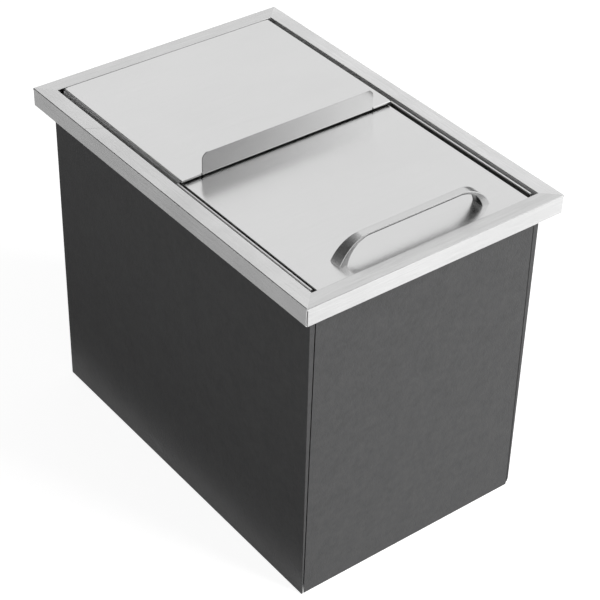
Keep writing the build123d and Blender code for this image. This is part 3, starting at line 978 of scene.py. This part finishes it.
def nut_side(flats, height, inwards):
    """Ring where the nut's chamfer meets its sides; inwards is 1 at the low face and -1 at the high."""
    ring = []
    for k in range(ROUND_STEPS):
        angle = (k + 0.5) * 2 * math.pi / ROUND_STEPS
        reach = flats / math.cos(angle % SIXTH - SIXTH / 2)
        fall = (reach - flats + DRAIN_EDGE) * NUT_CHAMFER_SLOPE
        ring.append(Vector((reach * math.cos(angle), reach * math.sin(angle), height + inwards * fall)))
    return ring


def make_locknut():
    """Hexagonal nut whose corners are chamfered on both faces."""
    low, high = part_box("drain_locknut")
    flats = high.y
    hole = THREAD_RADIUS + THREAD_CLEARANCE
    rings = [
        round_ring(hole + DRAIN_EDGE, low.z),
        round_ring(flats - DRAIN_EDGE, low.z),
        nut_side(flats, low.z, 1),
        nut_side(flats, high.z, -1),
        round_ring(flats - DRAIN_EDGE, high.z),
        round_ring(hole + DRAIN_EDGE, high.z),
        round_ring(hole, high.z - DRAIN_EDGE),
        round_ring(hole, low.z + DRAIN_EDGE),
    ]
    return add_object("outlet_locknut", loft(rings, closed=True))


# Effects that the finishes share: waves per metre, ranges of noise, and shares

GRAIN_STRETCH = 60.0
FINE_GRAIN = 3200.0
BROAD_GRAIN = 700.0
SMUDGES = 9.0
SMUDGE_STRETCH = (1.0, 1.6, 1.0)
SMUDGE_RANGE = (0.35, 0.7)
SCRATCHES = 420.0
SCRATCH_LENGTHWAYS = 7.0
SCRATCH_SLANT = 0.5
SCRATCH_BENDS = 14.0
SCRATCH_BEND = 0.02
SCRATCH_RANGE = (0.79, 0.84)
PEBBLES = 620.0
PEBBLE_ROUNDNESS = 0.6
GRIT = 1500.0
SWELLS = 150.0
MOTTLES = 42.0
MOTTLE_RANGE = (0.36, 0.64)
SWELLS_IN_MOTTLE = 0.5
PORES = 2100.0
PORE_RANGE = (0.12, 0.3)
PEBBLE_HEIGHT = -0.8
GRIT_HEIGHT = 0.35
SWELL_HEIGHT = 0.9


def make_grain_group():
    """Brushed grain: long fine lines along X or along Y, whichever side of the mitre the place lies on."""
    sizes = {"Place": "Vector", "Half Width": 0.0, "Half Length": 0.0}
    group, wire, given, made = new_group("brushed_grain", sizes, ["Lines", "Soft Lines", "Along Y"])
    x, y, _ = wire.split(given["Place"])
    past_x = wire.minus(wire.maths("ABSOLUTE", x), given["Half Width"])
    past_y = wire.minus(wire.maths("ABSOLUTE", y), given["Half Length"])
    along_y = wire.maths("GREATER_THAN", past_x, past_y)
    wire.put(made["Along Y"], along_y)
    for title, width in (("Lines", FINE_GRAIN), ("Soft Lines", BROAD_GRAIN)):
        length = width / GRAIN_STRETCH
        drawn_x = wire.stretch(given["Place"], (length, width, width))
        drawn_y = wire.stretch(given["Place"], (width, length, width))
        lines_x = wire.noise(drawn_x, 1.0, detail=3.0, roughness=0.6)
        lines_y = wire.noise(drawn_y, 1.0, detail=3.0, roughness=0.6)
        wire.put(made[title], wire.mix(along_y, lines_x, lines_y))
    return group


def make_handling_group():
    """Handling: broad soft smudges and a few faint hairline scratches, each from 0 to 1."""
    sizes = {"Place": "Vector", "Scale": 1.0}
    group, wire, given, made = new_group("handling", sizes, ["Smudges", "Scratches"])
    stretched = wire.stretch(given["Place"], SMUDGE_STRETCH)
    broad = wire.noise(stretched, wire.times(given["Scale"], SMUDGES), detail=3.0, roughness=0.55)
    wire.put(made["Smudges"], wire.between(broad, *SMUDGE_RANGE))
    bends = wire.noise(given["Place"], SCRATCH_BENDS, detail=1.0)
    slant = wire.add("ShaderNodeVectorRotate", Vector=given["Place"], Angle=SCRATCH_SLANT)
    x, y, z = wire.split(slant.outputs[0])
    bent_y = wire.plus(y, wire.times(bends, SCRATCH_BEND))
    drawn_x = wire.times(x, SCRATCH_LENGTHWAYS)
    warped = wire.join(drawn_x, wire.times(bent_y, SCRATCHES), wire.times(z, SCRATCHES))
    wire.put(made["Scratches"], wire.between(wire.noise(warped, 1.0, detail=0.0), *SCRATCH_RANGE))
    return group


def make_pebble_group():
    """Closed-cell foam skin: rounded pebbles with fine pores, and a slow mottle."""
    sizes = {"Place": "Vector", "Scale": 1.0}
    group, wire, given, made = new_group("pebbled_skin", sizes, ["Height", "Mottle", "Pores"])
    place = wire.scale(given["Place"], given["Scale"])
    pebbles = wire.times(wire.cells(place, PEBBLES, PEBBLE_ROUNDNESS), PEBBLE_HEIGHT)
    grit = wire.times(wire.noise(place, GRIT, roughness=0.6), GRIT_HEIGHT)
    swells = wire.noise(place, SWELLS, detail=3.0, roughness=0.6)
    wire.put(made["Height"], wire.plus(wire.plus(pebbles, grit), wire.times(swells, SWELL_HEIGHT)))
    slow = wire.noise(place, MOTTLES, detail=4.0, roughness=0.65)
    mottle = wire.mix(SWELLS_IN_MOTTLE, slow, swells)
    wire.put(made["Mottle"], wire.between(mottle, *MOTTLE_RANGE))
    wire.put(made["Pores"], wire.between(wire.cells(place, PORES), *PORE_RANGE))
    return group


def make_depth_group():
    """1 above a level and 0 some way below it, where painted shade darkens faces down in a gap."""
    sizes = {"Place": "Vector", "Level": 0.0, "Fade": MM}
    group, wire, given, made = new_group("depth", sizes, ["Clean"])
    height = wire.split(given["Place"])[2]
    dull = wire.minus(given["Level"], given["Fade"])
    wire.put(made["Clean"], wire.between(height, dull, given["Level"]))
    return group


grain_group = make_grain_group()
handling_group = make_handling_group()
pebble_group = make_pebble_group()
depth_group = make_depth_group()

# Steel: which way its grain runs, where shade is painted on it, and how far grain, smudges and scratches
# count

GRAIN_ALONG_X = (1.0, 0.0)
GRAIN_ALONG_Y = (-1.0, 0.0)
INWARDS = -1.0
OUTWARDS = 1.0
# Painted shade: how fast it fades in below its level, and its share of the steel's tone, which the lip's
# unpolished sheared edges use too
DULL_FADE = 0.7 * MM
DULL_SHARE = 0.3
FROM_INWARD_FACES = (-0.5, -0.2)
TO_SIDEWAYS_FACES = (0.15, 0.55)
FROM_UNDER_FACES = (-0.45, -0.1)
OFF_LOWER_EDGE = (0.4, 0.6, 1.0, 0.0)
TO_SIDE_FACES = (0.5, 0.9)
FINE_SHADE = 0.55
BROAD_SHADE = 0.45
SMUDGE_SHADE = 0.12
SHADE_RANGE = (0.3, 0.65)
GRAIN_ROUGHNESS = 0.07
SMUDGE_ROUGHNESS = 0.035
SCRATCH_ROUGHNESS = 0.05
SCRATCH_DEPTH = 0.8
GRAIN_DEPTH = 0.004 * MM
ANISOTROPY = 0.85
ANISOTROPY_TURN = 0.25


def new_finish(name):
    """An empty finish; returns the material, its wiring, its shader and the object coordinates."""
    material = bpy.data.materials.new(name)
    wire = fresh_wiring(material)
    shader = wire.nodes.new("ShaderNodeBsdfPrincipled")
    wire.add("ShaderNodeOutputMaterial", Surface=shader.outputs[0])
    place = wire.nodes.new("ShaderNodeTexCoord").outputs["Object"]
    return material, wire, shader, place


def grey(tone):
    """An opaque grey."""
    return (tone, tone, tone, 1.0)


def bumped(wire, height, distance):
    """A normal from a height."""
    return wire.add("ShaderNodeBump", Strength=1.0, Distance=distance, Height=height).outputs["Normal"]


def facing(wire):
    """The three parts of the direction that a face looks in."""
    return wire.split(wire.nodes.new("ShaderNodeNewGeometry").outputs["Normal"])


def facing_outwards(wire, place):
    """How far a face looks away from the middle of the bin: 1 outwards, -1 inwards."""
    return wire.times(facing(wire)[0], wire.maths("SIGN", wire.split(place)[0]))


def clean_share(wire, place, dull_below=None, dull_inwards=False, cut_edges_above=None, dull_underside=False):
    """1 where the steel is unshaded and 0 where it is darkest.

    Shade is painted below a level, or only where faces there look inwards, and on an underside with its
    marked lower edge. Sheared edges that look sideways above a level are darkened too, partly for their
    unpolished cut and partly as painted shade.
    """
    clean = 1.0
    if dull_below is not None:
        clean = wire.group(depth_group, Place=place, Level=dull_below, Fade=DULL_FADE)["Clean"]
    if dull_inwards:
        turned_out = wire.between(facing_outwards(wire, place), *FROM_INWARD_FACES)
        clean = wire.maths("MAXIMUM", clean, turned_out)
    if cut_edges_above is not None:
        sideways = wire.between(wire.maths("ABSOLUTE", facing(wire)[0]), *TO_SIDEWAYS_FACES)
        above = wire.maths("GREATER_THAN", wire.split(place)[2], cut_edges_above)
        clean = wire.maths("MINIMUM", clean, wire.minus(1.0, wire.times(sideways, above)))
    if dull_underside:
        clean = wire.maths("MINIMUM", clean, wire.between(facing(wire)[2], *FROM_UNDER_FACES))
        marked = wire.nodes.new("ShaderNodeAttribute")
        marked.attribute_name = "lower_edge"
        clean = wire.maths("MINIMUM", clean, wire.between(marked.outputs["Fac"], *OFF_LOWER_EDGE))
    return clean


def turned_place(wire, place, turn):
    """The place as seen from a turned piece, so that its grain runs another way."""
    swap = wire.nodes.new("ShaderNodeVectorRotate")
    swap.rotation_type = "EULER_XYZ"
    wire.put(swap.inputs["Rotation"], turn)
    wire.put(swap.inputs["Vector"], place)
    return swap.outputs[0]


def brushed_steel(name, tone, roughness, grain=GRAIN_ALONG_X, contrast=0.03, relief=1.0, turn=None,
                  side_roughness=None, cross_gain=0.0, metal=1.0, **dull_places):
    """Brushed stainless steel; its grain turns along Y past the mitres of a frame of the given half sizes.

    Side faces that look one way can have a roughness of their own, and where the grain runs along Y the
    steel can be made lighter, as painted light for the brighter reflection of those lands.
    """
    material, wire, shader, place = new_finish(name)
    clean = clean_share(wire, place, **dull_places)
    seen_place = place if turn is None else turned_place(wire, place, turn)
    half_width, half_length = grain
    grained = wire.group(grain_group, Place=seen_place, Half_Width=half_width, Half_Length=half_length)
    lines, soft_lines, along_y = grained
    smudges, scratches = wire.group(handling_group, Place=seen_place)

    shades = wire.plus(wire.times(lines, FINE_SHADE), wire.times(soft_lines, BROAD_SHADE))
    shades = wire.between(wire.minus(shades, wire.times(smudges, SMUDGE_SHADE)), *SHADE_RANGE)
    colour = wire.blend(shades, grey(tone * (1 - contrast)), grey(min(1.0, tone * (1 + contrast))))
    # Painted light: lands whose grain runs along Y get a lighter colour
    if cross_gain:
        colour = wire.scale(colour, wire.plus(1.0, wire.times(along_y, cross_gain)))
    # Painted shade in gaps and under things, and the lip's unpolished sheared edges, darken the colour
    # towards one grey
    if clean != 1.0:
        colour = wire.blend(clean, grey(tone * DULL_SHARE), colour)
    wire.put(shader.inputs["Base Color"], colour)

    rough = wire.plus(wire.times(soft_lines, GRAIN_ROUGHNESS), roughness - GRAIN_ROUGHNESS / 2)
    rough = wire.plus(rough, wire.times(smudges, SMUDGE_ROUGHNESS))
    if side_roughness is not None:
        side_rough, direction = side_roughness
        sides = wire.between(wire.times(facing_outwards(wire, place), direction), *TO_SIDE_FACES)
        rough = wire.mix(sides, rough, side_rough)
    wire.put(shader.inputs["Roughness"], wire.plus(rough, wire.times(scratches, SCRATCH_ROUGHNESS)))

    height = wire.minus(lines, wire.times(scratches, SCRATCH_DEPTH))
    wire.put(shader.inputs["Normal"], bumped(wire, height, GRAIN_DEPTH * relief))
    wire.put(shader.inputs["Tangent"], wire.join(wire.minus(1.0, along_y), along_y))
    shader.inputs["Metallic"].default_value = metal
    shader.inputs["Anisotropic"].default_value = ANISOTROPY
    shader.inputs["Anisotropic Rotation"].default_value = ANISOTROPY_TURN
    return material


# Foam and rubber

FOAM_DARK = (0.051, 0.051, 0.052, 1.0)
FOAM_LIGHT = (0.080, 0.080, 0.081, 1.0)
FOAM_ROUGHNESS = (0.58, 0.67)
FOAM_SHINE = 0.45
FOAM_RELIEF = 0.25 * MM
PORE_SHADE = 0.35
RUBBER_DARK = (0.012, 0.012, 0.013, 1.0)
RUBBER_LIGHT = (0.03, 0.03, 0.031, 1.0)
RUBBER_ROUGHNESS = (0.55, 0.7)
RUBBER_RELIEF = 0.02 * MM
RUBBER_GRIT = 1800.0
BLOOM = 260.0
BLOOM_RANGE = (0.35, 0.7)


def black_foam(name):
    """Black closed-cell foam sheet."""
    material, wire, shader, place = new_finish(name)
    height, mottle, pores = wire.group(pebble_group, Place=place)
    share = wire.times(mottle, wire.mix(PORE_SHADE, 1.0, pores))
    wire.put(shader.inputs["Base Color"], wire.blend(share, FOAM_DARK, FOAM_LIGHT))
    wire.put(shader.inputs["Roughness"], wire.between(mottle, 0.0, 1.0, *FOAM_ROUGHNESS))
    wire.put(shader.inputs["Normal"], bumped(wire, height, FOAM_RELIEF))
    shader.inputs["Specular IOR Level"].default_value = FOAM_SHINE
    return material


def black_rubber(name):
    """Moulded black rubber with a faint bloom."""
    material, wire, shader, place = new_finish(name)
    bloom = wire.between(wire.noise(place, BLOOM, detail=3.0), *BLOOM_RANGE)
    wire.put(shader.inputs["Base Color"], wire.blend(bloom, RUBBER_DARK, RUBBER_LIGHT))
    wire.put(shader.inputs["Roughness"], wire.between(bloom, 0.0, 1.0, *RUBBER_ROUGHNESS))
    wire.put(shader.inputs["Normal"], bumped(wire, wire.noise(place, RUBBER_GRIT), RUBBER_RELIEF))
    return material


# Object: finishes and pieces

# The rim's side lands, whose grain runs along Y, carry painted light
rim_steel = brushed_steel("rim_brushed_steel", tone=0.63, roughness=0.20, contrast=0.10, cross_gain=0.14,
                          grain=(rim_high.x, rim_high.y), side_roughness=(0.5, INWARDS))
# The lip's sheared ends are darkened: partly unpolished cut, partly painted shade
rear_lid_steel = brushed_steel("rear_lid_brushed_steel", tone=0.68, roughness=0.17, contrast=0.02, relief=0.2,
                               cut_edges_above=rear_lid_top + SHEET, side_roughness=(0.55, OUTWARDS))
# The front lid's sides below its fold carry painted shade
front_lid_steel = brushed_steel("front_lid_brushed_steel", tone=0.675, roughness=0.17, contrast=0.02,
                                relief=0.2, dull_below=front_high.z - LID_FOLD)
# Painted shade down in the rail's channel, on faces that look inwards
rail_steel = brushed_steel("rail_brushed_steel", tone=0.85, roughness=0.34, grain=GRAIN_ALONG_Y,
                           side_roughness=(0.6, OUTWARDS), dull_below=rail_high.z - LID_FOLD,
                           dull_inwards=True)
tub_steel = brushed_steel("tub_satin_steel", tone=0.66, roughness=0.42, turn=(0, QUARTER, 0), metal=0.5)
# The handle carries painted shade on its undersides and along its lower edge
handle_steel = brushed_steel("handle_satin_steel", tone=0.63, roughness=0.2, contrast=0.05,
                             dull_underside=True)
drain_steel = brushed_steel("drain_turned_steel", tone=0.60, roughness=0.25, contrast=0.05)
screw_steel = brushed_steel("screw_steel", tone=0.55, roughness=0.22, contrast=0.05)
foam_skin = black_foam("black_foam_skin")
gasket_rubber = black_rubber("gasket_black_rubber")

dress(make_rim(), rim_steel, "bin", "rim_steel", "rim_frame")
dress(make_tub(), tub_steel, "bin", "tub_steel", "inner_tub")
for side, node in ((-1, "lid_rail_left"), (1, "lid_rail_right")):
    dress(make_rail(side), rail_steel, "bin", "rail_steel", node)
for side, node in ((-1, "foam_panel_left"), (1, "foam_panel_right")):
    dress(make_long_sheet(side), foam_skin, "bin", "foam", node)
for end, node in ((-1, "foam_panel_front"), (1, "foam_panel_rear")):
    dress(make_end_sheet(end), foam_skin, "bin", "foam", node)
dress(make_bottom_slab(), foam_skin, "bin", "foam", "foam_panel_bottom")

dress(make_rear_lid(), rear_lid_steel, "rear_lid", "lid_steel", "rear_lid")
dress(make_front_lid(), front_lid_steel, "front_lid", "lid_steel", "front_lid")
dress(make_handle(), handle_steel, "front_lid", "handle_steel", "lid_handle")

screw_low, screw_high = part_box("handle_screws")
screw_seat = screw_low.z + HANDLE_SCREW_HEAD_HEIGHT
first_screw, last_screw = handle_screw_places()
handle_screws = row_of_copies(
    "handle_fixing_screws",
    screw_mesh(HANDLE_SCREW_HEAD, HANDLE_SCREW_HEAD_HEIGHT, screw_high.z - screw_seat, -1),
    screw_steel,
    {"Start X": first_screw, "Spacing": last_screw - first_screw, "Place Y": handle_middle_y,
     "Height": screw_seat, "Count": 2},
)
dress(handle_screws, screw_steel, "front_lid", "screw_steel", "handle_screws")

strainer_low, strainer_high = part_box("drain_strainer")
strainer = perforated_disc("drain_perforated_disc", drain_steel, {
    "Diameter": strainer_high.x * 2,
    "Thickness": strainer_high.z - strainer_low.z,
    "Height": (strainer_low.z + strainer_high.z) / 2,
    "Ring Pitch": STRAINER_RING_PITCH,
    "Hole Diameter": STRAINER_HOLE,
    "Screw Hole": 2 * SCREW_HOLE,
    "Holes per Ring": STRAINER_HOLES_PER_RING,
})
dress(strainer, drain_steel, "bin", "drain_steel", "drain_strainer")
strainer_screw_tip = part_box("strainer_screw")[0].z
strainer_screw = row_of_copies(
    "strainer_fixing_screw",
    screw_mesh(STRAINER_SCREW_HEAD, STRAINER_SCREW_HEAD_HEIGHT, strainer_high.z - strainer_screw_tip, 1),
    screw_steel,
    {"Start X": 0.0, "Spacing": 0.0, "Place Y": 0.0, "Height": strainer_high.z, "Count": 1},
)
dress(strainer_screw, screw_steel, "bin", "screw_steel", "strainer_screw")
dress(make_drain_body(), drain_steel, "bin", "drain_steel", "drain_body")
dress(make_cross_bar(), drain_steel, "bin", "drain_steel", "drain_cross_bar")
dress(make_locknut(), drain_steel, "bin", "drain_steel", "drain_locknut")
dress(make_flat_ring("drain_washer", WASHER_EDGE), drain_steel, "bin", "drain_steel", "drain_washer")
dress(make_flat_ring("drain_gasket", GASKET_EDGE), gasket_rubber, "bin", "gasket_rubber", "drain_gasket")


# Studio: a pale floor, a white surround, one soft lamp, and cards that only the steel shows.
# A card has a place, a size, a brightness at each side, and the two ends of the grade between them.

FLOOR_HALF = 6.0
FLOOR_TONE = 0.50
FLOOR_GLOW = 0.88
SURROUND_LIGHT = 0.21
LAMP_PLACE = Vector((1.3, -2.1, 1.7))
LAMP_SIZE = 1.6
LAMP_GLOW = 10.0
EVEN = (0.0, 1.0)
REAR_LEFT_CARD = (Vector((-0.76, 1.41, 1.15)), (2.72, 2.5), (0.07, 0.07), EVEN)
REAR_RIGHT_CARD = (Vector((1.30, 1.05, 0.30)), (1.4, 0.6), (0.10, 0.10), EVEN)
LYING_CARD = (Vector((-0.545, 0.30, 0.01)), (0.77, 1.7), (0.49, 0.10), (0.69, 1.0))
FRONT_WALL = (Vector((1.147, -1.638, 1.7)), (4.4, 3.4), (1.6, 0.41), (0.446, 0.506))


def seen_share(wire):
    """1 for rays from the camera and in reflections or through glass, otherwise 0."""
    path = wire.nodes.new("ShaderNodeLightPath").outputs
    share = wire.maths("MAXIMUM", path["Is Camera Ray"], path["Is Glossy Ray"])
    return wire.maths("MAXIMUM", share, path["Is Transmission Ray"])


def make_floor():
    """Plain pale floor that keeps the bin's shadow and otherwise reads as white."""
    material = bpy.data.materials.new("pale_floor")
    wire = fresh_wiring(material)
    matt = wire.add("ShaderNodeBsdfDiffuse", Color=grey(FLOOR_TONE))
    glow = wire.add("ShaderNodeEmission", Strength=wire.times(seen_share(wire), FLOOR_GLOW))
    both = wire.nodes.new("ShaderNodeAddShader")
    wire.put(both.inputs[0], matt.outputs[0])
    wire.put(both.inputs[1], glow.outputs[0])
    wire.add("ShaderNodeOutputMaterial", Surface=both.outputs[0])
    mesh = bmesh.new()
    mesh.faces.new([mesh.verts.new((x * FLOOR_HALF, y * FLOOR_HALF, 0)) for x, y in CORNERS])
    floor = add_object("studio_floor", mesh)
    floor.data.materials.append(material)


def make_surround():
    """White to look at and in reflections; a plain even light on everything else."""
    world = bpy.data.worlds.new("studio_world")
    wire = fresh_wiring(world)
    strength = wire.mix(seen_share(wire), SURROUND_LIGHT, 1.0)
    light = wire.add("ShaderNodeBackground", Color=grey(1.0), Strength=strength)
    wire.add("ShaderNodeOutputWorld", Surface=light.outputs[0])
    bpy.context.scene.world = world


def facing_bin(place):
    """The turn that points something at a place towards the middle of the bin."""
    return (Vector((0, 0, rim_top / 2)) - place).to_track_quat("-Z", "Y").to_euler()


def upright(place):
    """The turn of a wall that stands upright at a place and faces the bin."""
    return Vector((-place.x, -place.y, 0)).to_track_quat("Z", "Y").to_matrix()


def make_lamp():
    """One large soft lamp from the front right; the steel shows the white studio and not this lamp."""
    lamp = bpy.data.lights.new("key_light", "AREA")
    lamp.shape = "SQUARE"
    lamp.size = LAMP_SIZE
    lamp.energy = LAMP_GLOW * math.pi * LAMP_SIZE * LAMP_SIZE
    thing = link_object("key_light", lamp)
    thing.location = LAMP_PLACE
    thing.rotation_euler = facing_bin(LAMP_PLACE)
    thing.visible_camera = False
    thing.visible_glossy = False


def card_face(name, levels, grades):
    """A card's face, at one brightness up to where the grade starts and at another past its end."""
    material = bpy.data.materials.new(name)
    wire = fresh_wiring(material)
    across = wire.split(wire.nodes.new("ShaderNodeUVMap").outputs["UV"])[0]
    glow = wire.add("ShaderNodeEmission", Strength=wire.between(across, *grades, *levels))
    wire.add("ShaderNodeOutputMaterial", Surface=glow.outputs[0])
    return material


def make_card(name, turn, place, size, levels, grades):
    """A card out of sight for the steel to show, even or graded from one side to the other."""
    mesh = bmesh.new()
    across = mesh.loops.layers.uv.new("across")
    corners = [Vector((x * size[0] / 2, y * size[1] / 2, 0)) for x, y in CORNERS]
    face = mesh.faces.new([mesh.verts.new(place + turn @ corner) for corner in corners])
    for loop, (x, y) in zip(face.loops, CORNERS):
        loop[across].uv = ((x + 1) / 2, (y + 1) / 2)
    card = add_object(name, mesh)
    card.data.materials.append(card_face(name, levels, grades))
    card.visible_camera = False
    card.visible_shadow = False
    card.visible_diffuse = False


def make_camera():
    """The photo's camera: its place, turn, tilt, roll and lens."""
    look = Vector((
        math.sin(CAMERA_TURN) * math.cos(CAMERA_DOWN),
        math.cos(CAMERA_TURN) * math.cos(CAMERA_DOWN),
        -math.sin(CAMERA_DOWN),
    ))
    right = look.cross(UP).normalized()
    up = right.cross(look)
    across = right * math.cos(CAMERA_ROLL) + up * math.sin(CAMERA_ROLL)
    over = across.cross(look)
    data = bpy.data.cameras.new("camera")
    data.lens = CAMERA_LENS
    data.sensor_width = CAMERA_SENSOR
    data.sensor_fit = "HORIZONTAL"
    data.clip_end = CAMERA_REACH
    camera = link_object("camera", data)
    turn = Matrix((across, over, -look)).transposed().to_4x4()
    camera.matrix_world = Matrix.Translation(CAMERA_PLACE) @ turn
    bpy.context.scene.camera = camera


make_floor()
make_surround()
make_lamp()
make_card("rear_left_card", facing_bin(REAR_LEFT_CARD[0]).to_matrix(), *REAR_LEFT_CARD)
make_card("rear_right_card", facing_bin(REAR_RIGHT_CARD[0]).to_matrix(), *REAR_RIGHT_CARD)
make_card("lying_card", Matrix.Identity(3), *LYING_CARD)
make_card("front_wall", upright(FRONT_WALL[0]), *FRONT_WALL)
make_camera()
bpy.context.scene.view_settings.view_transform = "Standard"
